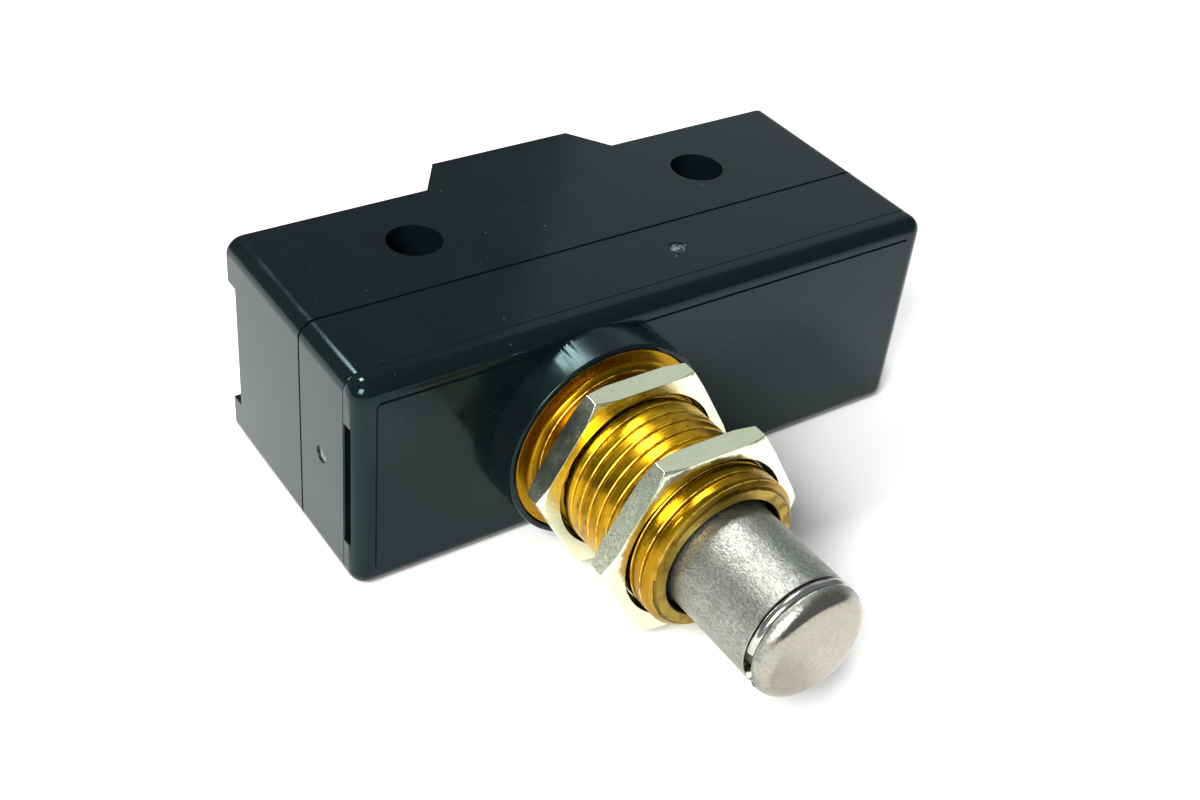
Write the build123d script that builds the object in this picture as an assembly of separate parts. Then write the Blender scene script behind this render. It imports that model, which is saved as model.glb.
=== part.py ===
from build123d import *
import os

# Panel-mount plunger limit switch: a moulded case, a threaded brass stud and a snap-action contact set.
# Millimetres. The switch lies on its big flat face: X runs along the case, -Y is the way the plunger
# points, and +Z is up through the case's thickness. The origin is the middle of the two mounting
# holes, on the flat underside.

# ---- the case
case_length = 49.2
case_thickness = 17.45
hole_pitch = 25.4
hole_diameter = 4.2
front_reach = 14.34  # mounting holes to the front face
shoulder_reach = 5.85  # mounting holes to the rear shoulders
hump_reach = 9.17  # mounting holes to the back of the hump
hump_root_width = 16.9
hump_back_width = 12.3
base_joint = 5.75  # mounting holes to the joint of base and cover
cap_joint = 12.4  # mounting holes to the joint of cover and front cap
end_corner = 1.3
front_corner = 1.2
panel_margin = 1.5
panel_rise = 0.12
panel_corner = 0.4
seam_chamfer = 0.1
base_seam_chamfer = 0.2
side_wall = 2.2
cover_front_wall = 1.0
boss_wall = 1.2  # plastic left around a mounting hole
channel_width = 10.4
channel_depth = 1.25
pry_slot_width = 0.95
pry_slot_height = 10.2
pry_slot_depth = 0.7
mark_radius = 0.65
mark_depth = 0.12
tongue_reach = 1.2
tongue_thickness = 0.8
tongue_inset = 4.4
peg_radius = 1.0
peg_reach = 0.7
fit_gap = 0.05  # between moulded or stamped pieces that fit into each other

# ---- the stud, its nuts and the plunger
stud_x = -6.35
stud_diameter = 12.0
stud_reach = 30.44  # mounting holes to the stud's open end
stud_end_chamfer = 0.5
stud_tail = 1.0  # stud behind its flange's seat, down to the cap's floor
flange_overhang = 1.54
flange_thickness = 1.5
collar_rim = 0.46
collar_reach = 17.0
collar_edge = 0.2
nut_land = 2.0  # across flats over the stud's diameter
nut_thickness = 1.7
nut_corner = 0.35
nut_recess = 0.27  # the bore opens by this much at each face
nut_recess_depth = 0.7
inner_nut_reach = 20.6  # mounting holes to each nut's front
outer_nut_reach = 28.35
relief_width = 0.75
relief_depth = 0.3
guide_wall = 1.7  # stud around the plunger's guide
plunger_reach = 40.1
plunger_tip_round = 1.2
plunger_travel = 5.9
plunger_lip = 0.6
plunger_lip_thickness = 1.0
plunger_lip_reach = 22.3
spring_depth = 33.2
mouth_depth = 1.5
mouth_gap = 0.35
running_gap = 0.05
stop_gap = 0.1
ring_wire = 0.8
ring_reach = 38.4
ring_proud = 0.1
ring_groove_gap = 0.02
ring_side_gap = 0.1
ring_opening = 45.0
ring_opening_at = 197.0

# ---- the pin plunger, its seat and the overtravel spring
pin_diameter = 4.0
pin_reach = 16.2
pin_flange_overhang = 1.0
pin_flange_thickness = 0.8
pin_free_play = 0.3
pin_nose_radius = 1.2
pin_nose_height = 0.6
seat_thickness = 0.5
seat_spigot_height = 1.2
bore_room = 0.6  # plunger's bore around the pin
seat_room = 0.2  # plunger's bore around the seat
spring_room = 0.675  # plunger's bore around the spring
spigot_room = 0.275  # spring around the seat's spigot
spring_wire = 0.45
spring_pitch = 1.45

# ---- the contact set
blade_level = 8.5  # mounting holes to the middle of the blade
blade_thickness = 0.3
blade_width = 6.0
blade_play = 0.1
pivot_inset = 6.1  # case end to the blade's pivot
contact_inset = 8.6  # case end to the contacts
contact_gap = 1.0
contact_rest_gap = 0.05
contact_radius = 1.5
contact_height = 0.8
fixed_contact_height = 0.6
rivet_radius = 0.7
tail_radius = 1.1
tail_height = 0.3
window_width = 2.4
window_inset = 4.5
bow_rise = 2.0
bow_width = 2.0
bow_thickness = 0.25
strip_thickness = 0.8
leg_width = 5.0
plate_width = 8.0
leg_inset = 2.4  # case end to the outside of a terminal's leg

# ---- the terminal screws
terminal_inset = 6.7  # case end to a shoulder screw
plate_overhang = 4.2
screw_diameter = 3.9
screw_length = 5.5
head_radius = 3.5
head_height = 2.4
head_edge = 0.5
slot_width = 0.9
slot_length = 4.6
slot_depth = 1.3
boss_radius = 2.8
boss_height = 1.6
washer_radius = 3.6
washer_thickness = 0.5
washer_teeth = 12
tooth_gap = 0.6
tooth_depth = 0.7

# ---- what follows from them
half_length = case_length / 2
mid_z = case_thickness / 2
stud_radius = stud_diameter / 2
flange_radius = stud_radius + flange_overhang
collar_radius = flange_radius + collar_rim
flange_front = collar_reach
flange_seat = flange_front - flange_thickness
stud_back = flange_seat - stud_tail
plunger_radius = stud_radius - guide_wall - running_gap
guide_radius = plunger_radius + running_gap
lip_radius = plunger_radius + plunger_lip
lip_bore_radius = lip_radius + stop_gap
pin_radius = pin_diameter / 2
plunger_bore_radius = pin_radius + bore_room
spring_mean_radius = plunger_bore_radius - spring_room - spring_wire / 2
spigot_radius = spring_mean_radius - spring_wire / 2 - spigot_room
pin_bore_radius = pin_radius + running_gap
pin_nose = blade_level + blade_thickness / 2 + pin_free_play
cover_floor = cap_joint - cover_front_wall
cavity_half_length = half_length - side_wall
cavity_half_height = mid_z - side_wall
boss_front = hole_diameter / 2 + boss_wall
centre_pocket_half = hole_pitch / 2 - boss_front
shoulder_floor = shoulder_reach - channel_depth
hump_floor = hump_reach - channel_depth
terminal_x = half_length - terminal_inset
centre_pocket_depth = hump_floor - screw_length + strip_thickness + washer_thickness - 1.0
pivot_x = pivot_inset - half_length
contact_x = half_length - contact_inset
blade_front = blade_level + blade_thickness / 2
blade_back = blade_level - blade_thickness / 2
nc_face = blade_front + contact_height + contact_rest_gap
no_face = blade_back - contact_height - contact_rest_gap - contact_gap
leg_x = half_length - leg_inset
no_leg_x = boss_radius + 0.6


def block(x, y, z):
    """A box between pairs of limits."""
    centre = Pos(sum(x) / 2, sum(y) / 2, sum(z) / 2)
    return centre * Box(abs(x[1] - x[0]), abs(y[1] - y[0]), abs(z[1] - z[0]))


def around_mid(width):
    """Limits in Z of something this wide, centred in the case's thickness."""
    return (mid_z - width / 2, mid_z + width / 2)


def rod(radius, y, x=stud_x):
    """A round rod along Y between two limits, centred in the case's thickness."""
    return Pos(x, sum(y) / 2, mid_z) * Rot(90, 0, 0) * Cylinder(radius, abs(y[1] - y[0]))


def ring(outer, inner, y, x=stud_x):
    return rod(outer, y, x) - rod(inner, y, x)


def turned(points):
    """A solid turned about the stud's axis from (radius, y) points."""
    outline = make_face(Polyline(*points, close=True))
    return Pos(stud_x, 0, mid_z) * revolve(outline, Axis.Y)


def case_slice(front, back):
    """The case's rounded section between two distances in front of the mounting holes."""
    section = Plane.XZ * RectangleRounded(case_length, case_thickness, end_corner)
    return Pos(0, -back, mid_z) * extrude(section, front - back)


def hexagon(across_flats, y):
    """A hexagonal bar along the stud's axis, with flats facing up and down."""
    outline = Plane.XZ * RegularPolygon(across_flats / 2, 6, major_radius=False)
    return Pos(stud_x, max(y), mid_z) * extrude(outline, abs(y[1] - y[0]))


def make_case_base():
    hump = Polyline(
        (-hump_root_width / 2, shoulder_reach - 1.0),
        (-hump_root_width / 2, shoulder_reach),
        (-hump_back_width / 2, hump_reach),
        (hump_back_width / 2, hump_reach),
        (hump_root_width / 2, shoulder_reach),
        (hump_root_width / 2, shoulder_reach - 1.0),
        close=True,
    )
    base = case_slice(base_joint, -shoulder_reach)
    base += extrude(make_face(hump), case_thickness)
    for side in (-1, 1):
        base -= Pos(side * hole_pitch / 2, 0, mid_z) * Cylinder(hole_diameter / 2, case_thickness * 2)
        shoulder = (side * hump_root_width / 2, side * (half_length + 1))
        base -= block(shoulder, (shoulder_floor, shoulder_reach + 1), around_mid(channel_width))
        base -= screw_pocket(side * terminal_x, shoulder_floor)
        base -= leg_slot(side * leg_x, side * (leg_x - strip_thickness), shoulder_floor)
    hump_channel = (-hump_root_width, hump_root_width)
    base -= block(hump_channel, (hump_floor, hump_reach + 1), around_mid(channel_width))
    base -= screw_pocket(0, hump_floor)
    base -= leg_slot(no_leg_x + strip_thickness, no_leg_x, hump_floor)
    trough = (-cavity_half_length, cavity_half_length)
    base -= block(trough, (-base_joint - 1, -boss_front), around_mid(2 * cavity_half_height))
    pocket = (-centre_pocket_half, centre_pocket_half)
    base -= block(pocket, (-boss_front - 1, centre_pocket_depth), around_mid(2 * cavity_half_height - 2))
    tongue_span = (tongue_inset - cavity_half_length, cavity_half_length - tongue_inset)
    for side in (-1, 1):
        wall = mid_z + side * cavity_half_height
        inner = wall - side * (fit_gap + tongue_thickness)
        base += block(tongue_span, (-base_joint, -boss_front), (inner, wall))
        base += block(tongue_span, (-base_joint - tongue_reach, -base_joint), (inner, wall - side * fit_gap))
    return base


def screw_pocket(x, floor):
    """Room in the base for a terminal's screw and the boss that it is screwed into."""
    tip = floor + strip_thickness + washer_thickness - screw_length
    pocket = rod(screw_diameter / 2 + 0.15, (tip - 0.2, floor + 1), x)
    return pocket + rod(boss_radius + fit_gap, (floor - boss_height - fit_gap, floor + 1), x)


def leg_slot(outside, inside, floor):
    """The slot that a terminal's leg goes through, from its plate into the case."""
    spread = fit_gap if outside > inside else -fit_gap
    return block(
        (outside + spread, inside - spread), (-boss_front - 1, floor + 1), around_mid(leg_width + 2 * fit_gap)
    )


def make_case_cover():
    cover = case_slice(cap_joint, base_joint)
    rims = cover.edges().group_by(Axis.Y)
    cover = chamfer(rims[0], seam_chamfer)
    cover = chamfer(cover.edges().group_by(Axis.Y)[-1], base_seam_chamfer)
    inside = (-cavity_half_length, cavity_half_length)
    cover -= block(inside, (-cover_floor, -base_joint + 1), around_mid(2 * cavity_half_height))
    cover -= rod(pin_bore_radius, (-cap_joint - 1, -cover_floor + 1))
    for side in (-1, 1):
        cover -= rod(peg_radius + fit_gap, (-cap_joint - 1, peg_reach + fit_gap - cap_joint), side * peg_x())
    middle = (base_joint + cap_joint) / 2
    cover -= Pos(4.2, -middle, case_thickness) * Cylinder(mark_radius, 2 * mark_depth)
    cover -= Pos(-half_length, -middle, mid_z) * Rot(0, 90, 0) * Cylinder(mark_radius, 2 * mark_depth)
    return cover


def peg_x():
    return cavity_half_length - 2 * peg_radius


def make_front_cap():
    border = front_reach - panel_rise
    cap = case_slice(border, cap_joint)
    cap = fillet(cap.edges().group_by(Axis.Y)[0], front_corner)
    panel_length = case_length - 2 * panel_margin
    panel_height = case_thickness - 2 * panel_margin
    panel = Plane.XZ * RectangleRounded(panel_length, panel_height, panel_corner)
    cap += Pos(0, -cap_joint - 0.5, mid_z) * extrude(panel, front_reach - cap_joint - 0.5)
    collar = rod(collar_radius, (-collar_reach, -cap_joint))
    cap += fillet(collar.edges().group_by(Axis.Y)[0], collar_edge)
    cap -= rod(flange_radius + fit_gap, (-collar_reach - 1, -flange_seat))
    cap -= rod(stud_radius, (-flange_seat - 1, -stud_back))
    cap -= rod(pin_bore_radius, (-flange_seat, -cap_joint + 1))
    for side in (-1, 1):
        cap += rod(peg_radius, (-cap_joint - 0.5, peg_reach - cap_joint), side * peg_x())
        end = (side * (half_length - pry_slot_depth), side * (half_length + 1))
        cap -= block(end, (-cap_joint - pry_slot_width, -cap_joint), around_mid(pry_slot_height))
    return cap


def make_bushing():
    """The brass stud: a flange in the cap's collar and a thread for the nuts, bored for the plunger.

    The thread is a plain cylinder of its outside diameter. A relief under each nut parts the stretch
    between them, where the panel sits.
    """
    bushing = turned(
        [
            (0, -stud_back),
            (stud_radius, -stud_back),
            (stud_radius, -flange_seat),
            (flange_radius, -flange_seat),
            (flange_radius, -flange_front),
            (stud_radius, -flange_front),
            (stud_radius, stud_end_chamfer - stud_reach),
            (stud_radius - stud_end_chamfer, -stud_reach),
            (0, -stud_reach),
        ]
    )
    outer_nut_back = outer_nut_reach - nut_thickness
    for front in (inner_nut_reach + stop_gap, outer_nut_back + relief_width - stop_gap):
        bushing -= ring(stud_radius + 1, stud_radius - relief_depth, (-front, relief_width - front))
    stop = plunger_lip_reach + stop_gap
    bushing -= rod(guide_radius, (-stud_reach - 1, -stud_back + 1))
    bushing -= rod(lip_bore_radius, (-stop, -stud_back + 1))
    bushing -= rod(plunger_radius + mouth_gap, (-stud_reach - 1, mouth_depth - stud_reach))
    return bushing


def make_nut(front):
    """A thin hexagon nut, its corners turned off on both faces."""
    across_flats = stud_diameter + nut_land
    nut = hexagon(across_flats, (-front, nut_thickness - front))
    corner = across_flats / 3**0.5
    low = corner - 2 * nut_corner
    nut &= turned(
        [
            (0, -front),
            (low, -front),
            (corner + 0.1, nut_corner - front),
            (corner + 0.1, nut_thickness - nut_corner - front),
            (low, nut_thickness - front),
            (0, nut_thickness - front),
        ]
    )
    bore = stud_radius + running_gap
    wide = bore + nut_recess
    back = nut_thickness - front
    return nut - turned(
        [
            (0, -front - 1),
            (wide, -front - 1),
            (wide, -front),
            (bore, nut_recess_depth - front),
            (bore, back - nut_recess_depth),
            (wide, back),
            (wide, back + 1),
            (0, back + 1),
        ]
    )


def make_plunger():
    plunger = rod(plunger_radius, (-plunger_reach, -plunger_lip_reach))
    plunger = fillet(plunger.edges().group_by(Axis.Y)[0], plunger_tip_round)
    lip_back = plunger_lip_reach - plunger_lip_thickness
    plunger += rod(lip_radius, (-plunger_lip_reach, -lip_back))
    plunger -= rod(plunger_bore_radius, (-spring_depth, -lip_back + 1))
    half = ring_wire / 2
    groove = (-ring_reach - half - ring_side_gap, -ring_reach + half + ring_groove_gap)
    return plunger - ring(plunger_radius + 1, groove_floor(), groove)


def groove_floor():
    return plunger_radius + ring_proud - ring_wire - ring_groove_gap


def make_snap_ring():
    """An open ring of round wire in the plunger's groove."""
    mean = plunger_radius + ring_proud - ring_wire / 2
    wire = Pos(mean, -ring_reach) * Circle(ring_wire / 2)
    whole = revolve(wire, Axis.Y, 360 - ring_opening)
    return Pos(stud_x, 0, mid_z) * Rot(0, -ring_opening_at - ring_opening / 2, 0) * whole


def make_spring():
    """The overtravel spring, between the plunger's bore and the seat on the pin plunger."""
    low = -spring_depth + spring_wire / 2
    high = -pin_reach - seat_thickness - spring_wire / 2
    path = Helix(pitch=spring_pitch, height=high - low, radius=spring_mean_radius)
    section = Plane(origin=path @ 0, z_dir=path % 0) * Circle(spring_wire / 2)
    coil = sweep(section, path=path, is_frenet=True)
    return Pos(stud_x, high, mid_z) * Rot(90, 0, 0) * coil


def make_pin_plunger():
    pin = rod(pin_radius, (-pin_reach, -pin_nose - pin_nose_height))
    pin += rod(pin_nose_radius, (-pin_nose - pin_nose_height - 0.1, -pin_nose))
    flange_front_face = cover_floor - stop_gap
    flange = (-flange_front_face, pin_flange_thickness - flange_front_face)
    return pin + rod(pin_radius + pin_flange_overhang, flange)


def make_spring_seat():
    seat_front = -pin_reach - seat_thickness
    seat = rod(plunger_bore_radius - seat_room, (seat_front, -pin_reach))
    return seat + rod(spigot_radius, (seat_front - seat_spigot_height, -pin_reach))


def window():
    """Limits in X of the blade's window, which the bow spring spans."""
    return (pivot_x + window_inset, stud_x + 6.3)


def make_blade():
    end = contact_x + contact_radius + 0.2
    level = (-blade_front, -blade_back)
    blade = block((pivot_x - 1.5, end), level, around_mid(blade_width))
    blade -= block(window(), (-blade_front - 1, -blade_back + 1), around_mid(window_width))
    blade -= rod(rivet_radius + fit_gap, (-blade_front - 1, -blade_back + 1), pivot_x)
    return blade - rod(rivet_radius, (-blade_front - 1, -blade_back + 1), contact_x)


def make_bow_spring():
    """An arched strip held between the ends of the blade's window."""
    left, right = window()
    half = (right - left) / 2 - fit_gap
    outer = (half**2 + bow_rise**2) / (2 * bow_rise)
    middle = (left + right) / 2
    centre = Pos(middle, -blade_level + bow_rise - outer, mid_z)
    arch = centre * (Cylinder(outer, bow_width) - Cylinder(outer - bow_thickness, bow_width * 2))
    return arch & block((left + fit_gap, right - fit_gap), (-blade_level, 0), around_mid(bow_width))


def make_moving_contact():
    contact = rod(contact_radius, (-blade_front - contact_height, -blade_front), contact_x)
    contact += rod(rivet_radius, (-blade_front, -blade_back), contact_x)
    return contact + rod(contact_radius, (-blade_back, -blade_back + contact_height), contact_x)


def make_anchor_rivet():
    foot_back = blade_back - blade_play - strip_thickness
    front_head = (-blade_front - blade_play - 0.4, -blade_front - blade_play)
    rivet = rod(contact_radius, front_head, pivot_x)
    rivet += rod(rivet_radius, (-blade_front - blade_play, -foot_back), pivot_x)
    return rivet + rod(tail_radius, (-foot_back, -foot_back + tail_height), pivot_x)


def make_fixed_contact(face, foot):
    """A contact riveted to a terminal's foot, facing the blade. face and foot are distances in Y."""
    toward = 1 if foot > face else -1
    back = foot + toward * strip_thickness
    contact = rod(contact_radius, (-face, -foot), contact_x)
    contact += rod(rivet_radius, (-foot, -back), contact_x)
    return contact + rod(tail_radius, (-back, -back - toward * tail_height), contact_x)


def terminal_plate(x, floor):
    """A terminal's plate on the floor of its channel, with a threaded boss for the screw."""
    top = floor + strip_thickness
    plate = block((x - plate_overhang, x + plate_overhang), (floor, top), around_mid(plate_width))
    plate += rod(boss_radius, (floor - boss_height, floor), x)
    return plate - rod(screw_diameter / 2 + running_gap, (floor - boss_height - 1, top + 1), x)


def shoulder_terminal(side, foot, foot_depth, foot_end):
    """A plate on a shoulder, a leg down the end of the case and a foot along the blade."""
    terminal = terminal_plate(side * terminal_x, shoulder_floor)
    outside = side * leg_x
    inside = side * (leg_x - strip_thickness)
    plate_edge = side * (terminal_x + plate_overhang)
    plate_level = (shoulder_floor, shoulder_floor + strip_thickness)
    terminal += block((outside, plate_edge - side), plate_level, around_mid(leg_width))
    terminal += block((outside, inside), (-foot, shoulder_floor + strip_thickness), around_mid(leg_width))
    terminal += block((outside, foot_end), (-foot, foot_depth - foot), around_mid(leg_width))
    return terminal


def make_common_terminal():
    foot_front = blade_back - blade_play
    terminal = shoulder_terminal(-1, foot_front, strip_thickness, pivot_x + 1.0)
    return terminal - rod(rivet_radius, (-foot_front - 1, 0), pivot_x)


def make_nc_terminal():
    foot_front = nc_face + fixed_contact_height + strip_thickness
    terminal = shoulder_terminal(1, foot_front, strip_thickness, contact_x - contact_radius - 0.5)
    return terminal - rod(rivet_radius, (-foot_front - 1, -nc_face), contact_x)


def make_no_terminal():
    foot_front = no_face - fixed_contact_height
    foot_back = foot_front - strip_thickness
    terminal = terminal_plate(0, hump_floor)
    leg = (no_leg_x, no_leg_x + strip_thickness)
    terminal += block(leg, (-foot_front, hump_floor + strip_thickness), around_mid(leg_width))
    foot = (no_leg_x, contact_x + contact_radius + 0.5)
    terminal += block(foot, (-foot_front, -foot_back), around_mid(leg_width))
    return terminal - rod(rivet_radius, (-foot_front - 1, -foot_back + 1), contact_x)


def make_screw(x, floor):
    """A terminal screw with a cross-slotted pan head."""
    under_head = floor + strip_thickness + washer_thickness + stop_gap
    head = rod(head_radius, (under_head, under_head + head_height), x)
    head = fillet(head.edges().group_by(Axis.Y)[-1], head_edge)
    screw = head + rod(screw_diameter / 2, (under_head - screw_length, under_head), x)
    top = (under_head + head_height - slot_depth, under_head + head_height + 1)
    screw -= block((x - slot_length / 2, x + slot_length / 2), top, around_mid(slot_width))
    return screw - block((x - slot_width / 2, x + slot_width / 2), top, around_mid(slot_length))


def make_washer(x, floor):
    """A lock washer with teeth cut into its rim."""
    under = floor + strip_thickness + stop_gap
    level = (under, under + washer_thickness)
    washer = ring(washer_radius, screw_diameter / 2 + running_gap, level, x)
    rim = (washer_radius - tooth_depth, washer_radius + 1)
    notch = block(rim, (under - 1, under + 2), (-tooth_gap / 2, tooth_gap / 2))
    for tooth in range(washer_teeth):
        washer -= Pos(x, 0, mid_z) * Rot(0, tooth * 360 / washer_teeth, 0) * notch
    return washer


pieces = {
    "case_base": make_case_base(),
    "case_cover": make_case_cover(),
    "front_cap": make_front_cap(),
    "threaded_bushing": make_bushing(),
    "inner_nut": make_nut(inner_nut_reach),
    "outer_nut": make_nut(outer_nut_reach),
    "plunger": make_plunger(),
    "plunger_snap_ring": make_snap_ring(),
    "overtravel_spring": make_spring(),
    "spring_seat": make_spring_seat(),
    "pin_plunger": make_pin_plunger(),
    "snap_blade": make_blade(),
    "bow_spring": make_bow_spring(),
    "moving_contact": make_moving_contact(),
    "anchor_rivet": make_anchor_rivet(),
    "common_terminal": make_common_terminal(),
    "nc_terminal": make_nc_terminal(),
    "no_terminal": make_no_terminal(),
    "nc_contact": make_fixed_contact(nc_face, nc_face + fixed_contact_height),
    "no_contact": make_fixed_contact(no_face, no_face - fixed_contact_height),
}
for name, x, floor in (
    ("common", -terminal_x, shoulder_floor),
    ("no", 0, hump_floor),
    ("nc", terminal_x, shoulder_floor),
):
    pieces[f"{name}_screw"] = make_screw(x, floor)
    pieces[f"{name}_washer"] = make_washer(x, floor)

os.makedirs("parts", exist_ok=True)
for name, piece in pieces.items():
    export_step(piece, f"parts/{name}.step")
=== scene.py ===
import math

import bpy
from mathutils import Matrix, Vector


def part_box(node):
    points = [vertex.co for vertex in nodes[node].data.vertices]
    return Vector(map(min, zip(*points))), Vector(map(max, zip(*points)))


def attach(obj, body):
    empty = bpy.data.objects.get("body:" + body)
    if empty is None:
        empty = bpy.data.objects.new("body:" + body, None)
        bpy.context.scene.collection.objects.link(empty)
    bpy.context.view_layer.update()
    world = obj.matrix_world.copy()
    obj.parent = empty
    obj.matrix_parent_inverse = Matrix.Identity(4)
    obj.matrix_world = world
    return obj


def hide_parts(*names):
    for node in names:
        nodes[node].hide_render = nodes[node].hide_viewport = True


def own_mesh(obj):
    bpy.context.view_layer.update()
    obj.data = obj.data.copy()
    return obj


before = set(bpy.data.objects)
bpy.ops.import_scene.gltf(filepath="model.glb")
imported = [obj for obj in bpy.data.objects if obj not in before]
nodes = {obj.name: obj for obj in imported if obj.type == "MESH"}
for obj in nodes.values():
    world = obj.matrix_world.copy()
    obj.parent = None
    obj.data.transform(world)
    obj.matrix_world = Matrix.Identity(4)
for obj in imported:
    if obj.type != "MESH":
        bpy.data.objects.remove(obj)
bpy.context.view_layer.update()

mm = 0.001
tiny = 1e-7
clear = 1 * mm  # how far a cutting tool stands out of what it cuts
thin = 0.1 * mm  # the radius of the hole down the middle of a turned tool
centreReach = 0.2 * mm  # a corner nearer the axis than this is on the wall of such a hole


def deselectAll():
    if bpy.context.object and bpy.context.object.mode != "OBJECT":
        bpy.ops.object.mode_set(mode="OBJECT")
    bpy.ops.object.select_all(action="DESELECT")


def makeActive(piece):
    deselectAll()
    bpy.context.view_layer.objects.active = piece
    piece.select_set(True)


def editAll(piece):
    makeActive(piece)
    bpy.ops.object.mode_set(mode="EDIT")
    bpy.ops.mesh.select_all(action="SELECT")


def applyPlace(piece):
    makeActive(piece)
    bpy.ops.object.transform_apply(location=True, rotation=True, scale=True)


def applyModifiers(piece):
    makeActive(piece)
    for modifier in list(piece.modifiers):
        bpy.ops.object.modifier_apply(modifier=modifier.name)


def faceOut(piece):
    editAll(piece)
    bpy.ops.mesh.normals_make_consistent(inside=False)
    bpy.ops.object.mode_set(mode="OBJECT")


# rounds the sharp edges; share(point) gives the part of the width that an edge there takes
def softenEdges(piece, width, segments=2, angle=28, share=None):
    bevel = piece.modifiers.new("softEdges", "BEVEL")
    bevel.width = width
    bevel.segments = segments
    bevel.use_clamp_overlap = True
    if share is None:
        bevel.limit_method = "ANGLE"
        bevel.angle_limit = math.radians(angle)
    else:
        bevel.limit_method = "WEIGHT"
        makeActive(piece)
        bpy.ops.object.mode_set(mode="EDIT")
        bpy.ops.mesh.select_mode(type="EDGE")
        bpy.ops.mesh.select_all(action="DESELECT")
        bpy.ops.mesh.edges_select_sharp(sharpness=math.radians(angle))
        bpy.ops.object.mode_set(mode="OBJECT")
        corners = piece.data.vertices
        weights = piece.data.attributes.new("bevel_weight_edge", "FLOAT", "EDGE")
        for edge in piece.data.edges:
            if edge.select:
                middle = (corners[edge.vertices[0]].co + corners[edge.vertices[1]].co) / 2
                weights.data[edge.index].value = share(middle)
        bpy.ops.object.mode_set(mode="EDIT")
        bpy.ops.mesh.select_mode(type="VERT")
        bpy.ops.object.mode_set(mode="OBJECT")
    applyModifiers(piece)


# flat faces stay flat, and the small roundings between them shade smoothly
def smoothByAngle(piece, angle=34):
    makeActive(piece)
    bpy.ops.object.shade_smooth_by_angle(angle=math.radians(angle))
    even = piece.modifiers.new("evenShading", "WEIGHTED_NORMAL")
    even.keep_sharp = True
    even.weight = 80
    applyModifiers(piece)


def combine(piece, other, how):
    joint = piece.modifiers.new("combine", "BOOLEAN")
    joint.operation = how
    joint.solver = "EXACT"
    joint.object = other
    applyModifiers(piece)
    bpy.data.objects.remove(other)


def finishPiece(piece, body, node, material, angle=34):
    piece.name = node + "_shape"
    piece.data.name = piece.name
    piece.data.materials.clear()
    piece.data.materials.append(material)
    smoothByAngle(piece, angle)
    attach(piece, body)
    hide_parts(node)


# the stud's axis runs along Y through the middle of its box
studLow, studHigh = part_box("threaded_bushing")
axisX = (studLow.x + studHigh.x) / 2
axisZ = (studLow.z + studHigh.z) / 2


# draws a ring out along the stud's axis, scaled at each corner of a closed (radius, y) outline
def turnPiece(name, outline, sides=128):
    deselectAll()
    radius, y = outline[0]
    bpy.ops.mesh.primitive_circle_add(
        vertices=sides, radius=radius, location=(axisX, y, axisZ), rotation=(math.pi / 2, 0, 0)
    )
    piece = bpy.context.object
    piece.name = name
    bpy.ops.object.mode_set(mode="EDIT")
    bpy.ops.mesh.select_all(action="SELECT")
    for nextRadius, nextY in outline[1:] + outline[:1]:
        bpy.ops.mesh.extrude_region_move(TRANSFORM_OT_translate={"value": (0, nextY - y, 0)})
        grow = nextRadius / radius
        bpy.ops.transform.resize(value=(grow, 1, grow), center_override=(axisX, nextY, axisZ))
        radius, y = nextRadius, nextY
    bpy.ops.mesh.select_all(action="SELECT")
    bpy.ops.mesh.remove_doubles(threshold=tiny)
    bpy.ops.object.mode_set(mode="OBJECT")
    applyPlace(piece)
    faceOut(piece)
    return piece


# points of a rounding in (radius, y), from angle start to end in degrees
def arcPoints(centre, radius, start, end, steps):
    points = []
    for step in range(steps + 1):
        angle = math.radians(start + (end - start) * step / steps)
        points.append((centre[0] + radius * math.cos(angle), centre[1] + radius * math.sin(angle)))
    return points


def newGroup(name, inputs, outputs):
    group = bpy.data.node_groups.new(name, "ShaderNodeTree")
    for label, kind, value in inputs:
        socket = group.interface.new_socket(label, in_out="INPUT", socket_type=kind)
        if value is not None:
            socket.default_value = value
    for label, kind in outputs:
        group.interface.new_socket(label, in_out="OUTPUT", socket_type=kind)
    entry = group.nodes.new("NodeGroupInput")
    leave = group.nodes.new("NodeGroupOutput")
    return group, entry, leave


def addNode(tree, kind, inputs=None, **settings):
    node = tree.nodes.new(kind)
    for key, value in settings.items():
        setattr(node, key, value)
    for key, value in (inputs or {}).items():
        if isinstance(value, bpy.types.NodeSocket):
            tree.links.new(value, node.inputs[key])
        else:
            node.inputs[key].default_value = value
    return node


def calc(tree, operation, first, second=None, third=None):
    inputs = {0: first}
    if second is not None:
        inputs[1] = second
    if third is not None:
        inputs[2] = third
    return addNode(tree, "ShaderNodeMath", inputs, operation=operation).outputs[0]


def spread(tree, value, low, high, toLow=0.0, toHigh=1.0):
    inputs = {"Value": value, "From Min": low, "From Max": high, "To Min": toLow, "To Max": toHigh}
    return addNode(tree, "ShaderNodeMapRange", inputs).outputs["Result"]


def noise(tree, place, scale, detail=2.0, roughness=0.5):
    inputs = {"Vector": place, "Scale": scale, "Detail": detail, "Roughness": roughness}
    return addNode(tree, "ShaderNodeTexNoise", inputs).outputs["Fac"]


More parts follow.
